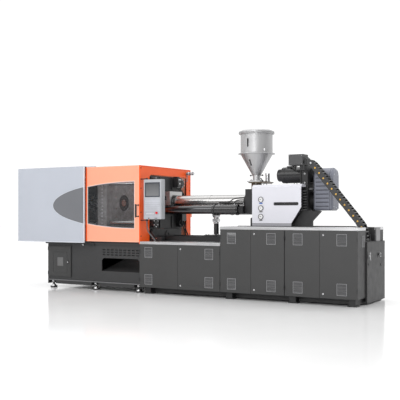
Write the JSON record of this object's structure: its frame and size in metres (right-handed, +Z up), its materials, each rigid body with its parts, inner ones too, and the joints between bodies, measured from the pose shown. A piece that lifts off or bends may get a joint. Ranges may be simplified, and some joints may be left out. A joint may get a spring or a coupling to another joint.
{
  "type": "injection moulding machine",
  "caption": "Horizontal injection moulding machine: guarded double toggle clamp, sliding guard doors, swing panel, injection carriage with hopper, belt-driven screw and cable chain.",
  "frame": {"origin": "centre of the bounding box on the floor", "axes": "+X along the machine from the clamp end to the injection end, operator at -Y, +Z up"},
  "size_m": [6.516, 1.8, 2.7],
  "materials": {
    "bed_paint": "satin textured powder coat",
    "door_paint": "satin textured powder coat",
    "cast_black": "painted casting",
    "black_steel": "satin black",
    "bright_steel": "bright",
    "black_plastic": "moulded",
    "chrome_bar": "ground and plated",
    "machined_steel": "machined",
    "platen_steel": "machined face",
    "shell_paint": "satin powder coat",
    "guard_paint": "satin powder coat",
    "window": "tinted clear sheet",
    "grey_plastic": "moulded",
    "panel_paint": "satin",
    "red_plastic": "moulded",
    "conduit_grey": "ribbed",
    "stainless": "brushed stainless",
    "guard_sheet": "sheet",
    "cover_paint": "satin powder coat",
    "bronze_paint": "dark bronze",
    "motor_black": "semi-gloss",
    "blue_grey": "satin",
    "box_grey": "satin",
    "chain_plastic": "moulded nylon"
  },
  "bodies": {
    "root": {"clamp_bed": "bed_paint", "injection_bed": "bed_paint", "levelling_feet": "cast_black", "cabinet_hinges": "black_steel", "fixed_platen": "cast_black", "tie_bars": "chrome_bar", "tie_bar_nuts": "black_steel", "clamp_shell": "shell_paint", "guard_frame": "black_steel", "end_panel": "guard_paint", "alarm_lamp": "grey_plastic", "panel_conduit": "conduit_grey", "injection_rails": "black_steel", "traverse_rods": "chrome_bar", "barrel_support": "black_steel", "cable_chain": "chain_plastic"},
    "door_1": {"cabinet_door_1": "door_paint"},
    "door_2": {"cabinet_door_2": "door_paint"},
    "door_3": {"cabinet_door_3": "door_paint"},
    "door_4": {"cabinet_door_4": "door_paint"},
    "door_5": {"cabinet_door_5": "door_paint"},
    "door_6": {"cabinet_door_6": "door_paint"},
    "bed_hatch": {"clamp_bed_door": "door_paint"},
    "lever": {"selector_lever": "bright_steel"},
    "knob": {"selector_knob": "black_plastic"},
    "tail": {"tail_platen": "cast_black", "adjusting_nuts": "black_steel", "clamp_cylinder": "cast_black"},
    "crosshead": {"crosshead": "machined_steel"},
    "rear_upper": {"rear_link_upper": "cast_black"},
    "rear_lower": {"rear_link_lower": "cast_black"},
    "front_upper": {"front_link_upper": "cast_black"},
    "front_lower": {"front_link_lower": "cast_black"},
    "drive_upper": {"drive_link_upper": "machined_steel"},
    "drive_lower": {"drive_link_lower": "machined_steel"},
    "moving": {"moving_platen": "platen_steel"},
    "ejector": {"ejector": "machined_steel"},
    "front_guard": {"front_door": "guard_paint", "front_window": "window", "front_handle": "black_plastic"},
    "rear_guard": {"rear_door": "guard_paint"},
    "panel": {"operator_panel": "panel_paint"},
    "stop": {"stop_button": "red_plastic"},
    "carriage": {"carriage": "cast_black", "barrel": "machined_steel", "nozzle": "machined_steel", "barrel_cover": "stainless", "traverse_cylinders": "black_steel", "injection_cover": "cover_paint", "hopper_slide": "bronze_paint", "drive_motor": "motor_black", "belt_cover": "blue_grey", "junction_box": "box_grey"},
    "ram": {"injection_ram": "machined_steel"},
    "screw": {"feed_screw": "machined_steel"},
    "screw_pulley": {"screw_pulley": "machined_steel"},
    "motor_pulley": {"motor_pulley": "machined_steel"},
    "hopper": {"hopper": "stainless"},
    "lid": {"hopper_lid": "stainless"},
    "nozzle_guard": {"nozzle_guard": "guard_sheet"}
  },
  "joints": [
    {"name": "cabinet_door_1_swing", "type": "hinge", "parent": "root", "child": "door_1", "pos_m": [-0.531, -0.812, 0.46], "axis": [0, 0, -1], "range_deg": [0, 105]},
    {"name": "cabinet_door_2_swing", "type": "hinge", "parent": "root", "child": "door_2", "pos_m": [0.991, -0.812, 0.46], "axis": [0, 0, 1], "range_deg": [0, 90]},
    {"name": "cabinet_door_3_swing", "type": "hinge", "parent": "root", "child": "door_3", "pos_m": [0.999, -0.812, 0.46], "axis": [0, 0, -1], "range_deg": [0, 90]},
    {"name": "cabinet_door_4_swing", "type": "hinge", "parent": "root", "child": "door_4", "pos_m": [2.081, -0.812, 0.46], "axis": [0, 0, 1], "range_deg": [0, 90]},
    {"name": "cabinet_door_5_swing", "type": "hinge", "parent": "root", "child": "door_5", "pos_m": [2.097, -0.812, 0.46], "axis": [0, 0, -1], "range_deg": [0, 90]},
    {"name": "cabinet_door_6_swing", "type": "hinge", "parent": "root", "child": "door_6", "pos_m": [3.198, -0.812, 0.46], "axis": [0, 0, 1], "range_deg": [0, 105]},
    {"name": "bed_hatch_swing", "type": "hinge", "parent": "root", "child": "bed_hatch", "pos_m": [-2.616, -0.742, 0.475], "axis": [0, 0, -1], "range_deg": [0, 105]},
    {"name": "selector_lever_turn", "type": "hinge", "parent": "root", "child": "lever", "pos_m": [3.225, -0.375, 0.707], "axis": [1, 0, 0], "range_deg": [-45, 45]},
    {"name": "selector_knob_turn", "type": "hinge", "parent": "root", "child": "knob", "pos_m": [3.225, 0.103, 0.707], "axis": [1, 0, 0], "range_deg": [-90, 90]},
    {"name": "mould_height_adjust", "type": "slide", "parent": "root", "child": "tail", "axis": [1, 0, 0], "range_m": [-0.09, 0.03]},
    {"name": "mould_close", "type": "slide", "parent": "tail", "child": "moving", "axis": [1, 0, 0], "range_m": [0, 0.4]},
    {"name": "crosshead_stroke", "type": "slide", "parent": "tail", "child": "crosshead", "axis": [1, 0, 0], "range_m": [0, 0.2215]},
    {"name": "rear_link_upper_swing", "type": "hinge", "parent": "tail", "child": "rear_upper", "pos_m": [-2.032, 0, 1.63], "axis": [0, -1, 0], "range_deg": [-31.4, 0]},
    {"name": "rear_link_lower_swing", "type": "hinge", "parent": "tail", "child": "rear_lower", "pos_m": [-2.032, 0, 1.41], "axis": [0, 1, 0], "range_deg": [-31.4, 0]},
    {"name": "front_link_upper_swing", "type": "hinge", "parent": "rear_upper", "child": "front_upper", "pos_m": [-1.886, 0, 2.04507], "axis": [0, -1, 0], "range_deg": [0, 62.7]},
    {"name": "front_link_lower_swing", "type": "hinge", "parent": "rear_lower", "child": "front_lower", "pos_m": [-1.886, 0, 0.99493], "axis": [0, 1, 0], "range_deg": [0, 62.7]},
    {"name": "drive_link_upper_swing", "type": "hinge", "parent": "crosshead", "child": "drive_upper", "pos_m": [-1.9688, 0, 1.5552], "axis": [0, -1, 0], "range_deg": [0, 23]},
    {"name": "drive_link_lower_swing", "type": "hinge", "parent": "crosshead", "child": "drive_lower", "pos_m": [-1.9688, 0, 1.4848], "axis": [0, 1, 0], "range_deg": [0, 23]},
    {"name": "ejector_stroke", "type": "slide", "parent": "moving", "child": "ejector", "axis": [1, 0, 0], "range_m": [0, 0.09]},
    {"name": "front_guard_slide", "type": "slide", "parent": "root", "child": "front_guard", "axis": [-1, 0, 0], "range_m": [0, 1.09]},
    {"name": "rear_guard_slide", "type": "slide", "parent": "root", "child": "rear_guard", "axis": [-1, 0, 0], "range_m": [0, 1.09]},
    {"name": "panel_swing", "type": "hinge", "parent": "root", "child": "panel", "pos_m": [-0.425, -0.752, 1.56], "axis": [0, 0, 1], "range_deg": [-75, 30]},
    {"name": "stop_button_press", "type": "slide", "parent": "panel", "child": "stop", "axis": [0, 1, 0], "range_m": [0, 0.006], "stiffness_N_per_m": 1500},
    {"name": "carriage_slide", "type": "slide", "parent": "root", "child": "carriage", "axis": [1, 0, 0], "range_m": [-0.1, 0.3], "deforming": ["cable_chain"]},
    {"name": "injection_stroke", "type": "slide", "parent": "carriage", "child": "ram", "axis": [1, 0, 0], "range_m": [0, 0.2]},
    {"name": "screw_spin", "type": "hinge", "parent": "ram", "child": "screw", "pos_m": [0, 0, 1.52], "axis": [1, 0, 0], "continuous": true},
    {"name": "screw_pulley_spin", "type": "hinge", "parent": "carriage", "child": "screw_pulley", "pos_m": [2.39, 0, 1.52], "axis": [1, 0, 0], "continuous": true},
    {"name": "motor_spin", "type": "hinge", "parent": "carriage", "child": "motor_pulley", "pos_m": [2.39, 0, 1.936], "axis": [1, 0, 0], "continuous": true},
    {"name": "hopper_shift", "type": "slide", "parent": "carriage", "child": "hopper", "axis": [0, 1, 0], "range_m": [0, 0.22]},
    {"name": "hopper_lid_swing", "type": "hinge", "parent": "hopper", "child": "lid", "pos_m": [1.23, 0.296, 2.64], "axis": [-1, 0, 0], "range_deg": [0, 100]},
    {"name": "nozzle_guard_swing", "type": "hinge", "parent": "root", "child": "nozzle_guard", "pos_m": [-0.43, 0.205, 1.708], "axis": [-1, 0, 0], "range_deg": [0, 90]}
  ],
  "couplings": [
    {"joint": "crosshead_stroke", "follows": "mould_close", "ratio": 0.5516},
    {"joint": "rear_link_upper_swing", "follows": "mould_close", "rad_per_m": -1.36},
    {"joint": "rear_link_lower_swing", "follows": "mould_close", "rad_per_m": -1.36},
    {"joint": "front_link_upper_swing", "follows": "mould_close", "rad_per_m": 2.72},
    {"joint": "front_link_lower_swing", "follows": "mould_close", "rad_per_m": 2.72},
    {"joint": "drive_link_upper_swing", "follows": "mould_close", "rad_per_m": 0.9965},
    {"joint": "drive_link_lower_swing", "follows": "mould_close", "rad_per_m": 0.9965},
    {"joint": "screw_pulley_spin", "follows": "screw_spin", "ratio": 1},
    {"joint": "motor_spin", "follows": "screw_spin", "ratio": 2}
  ]
}
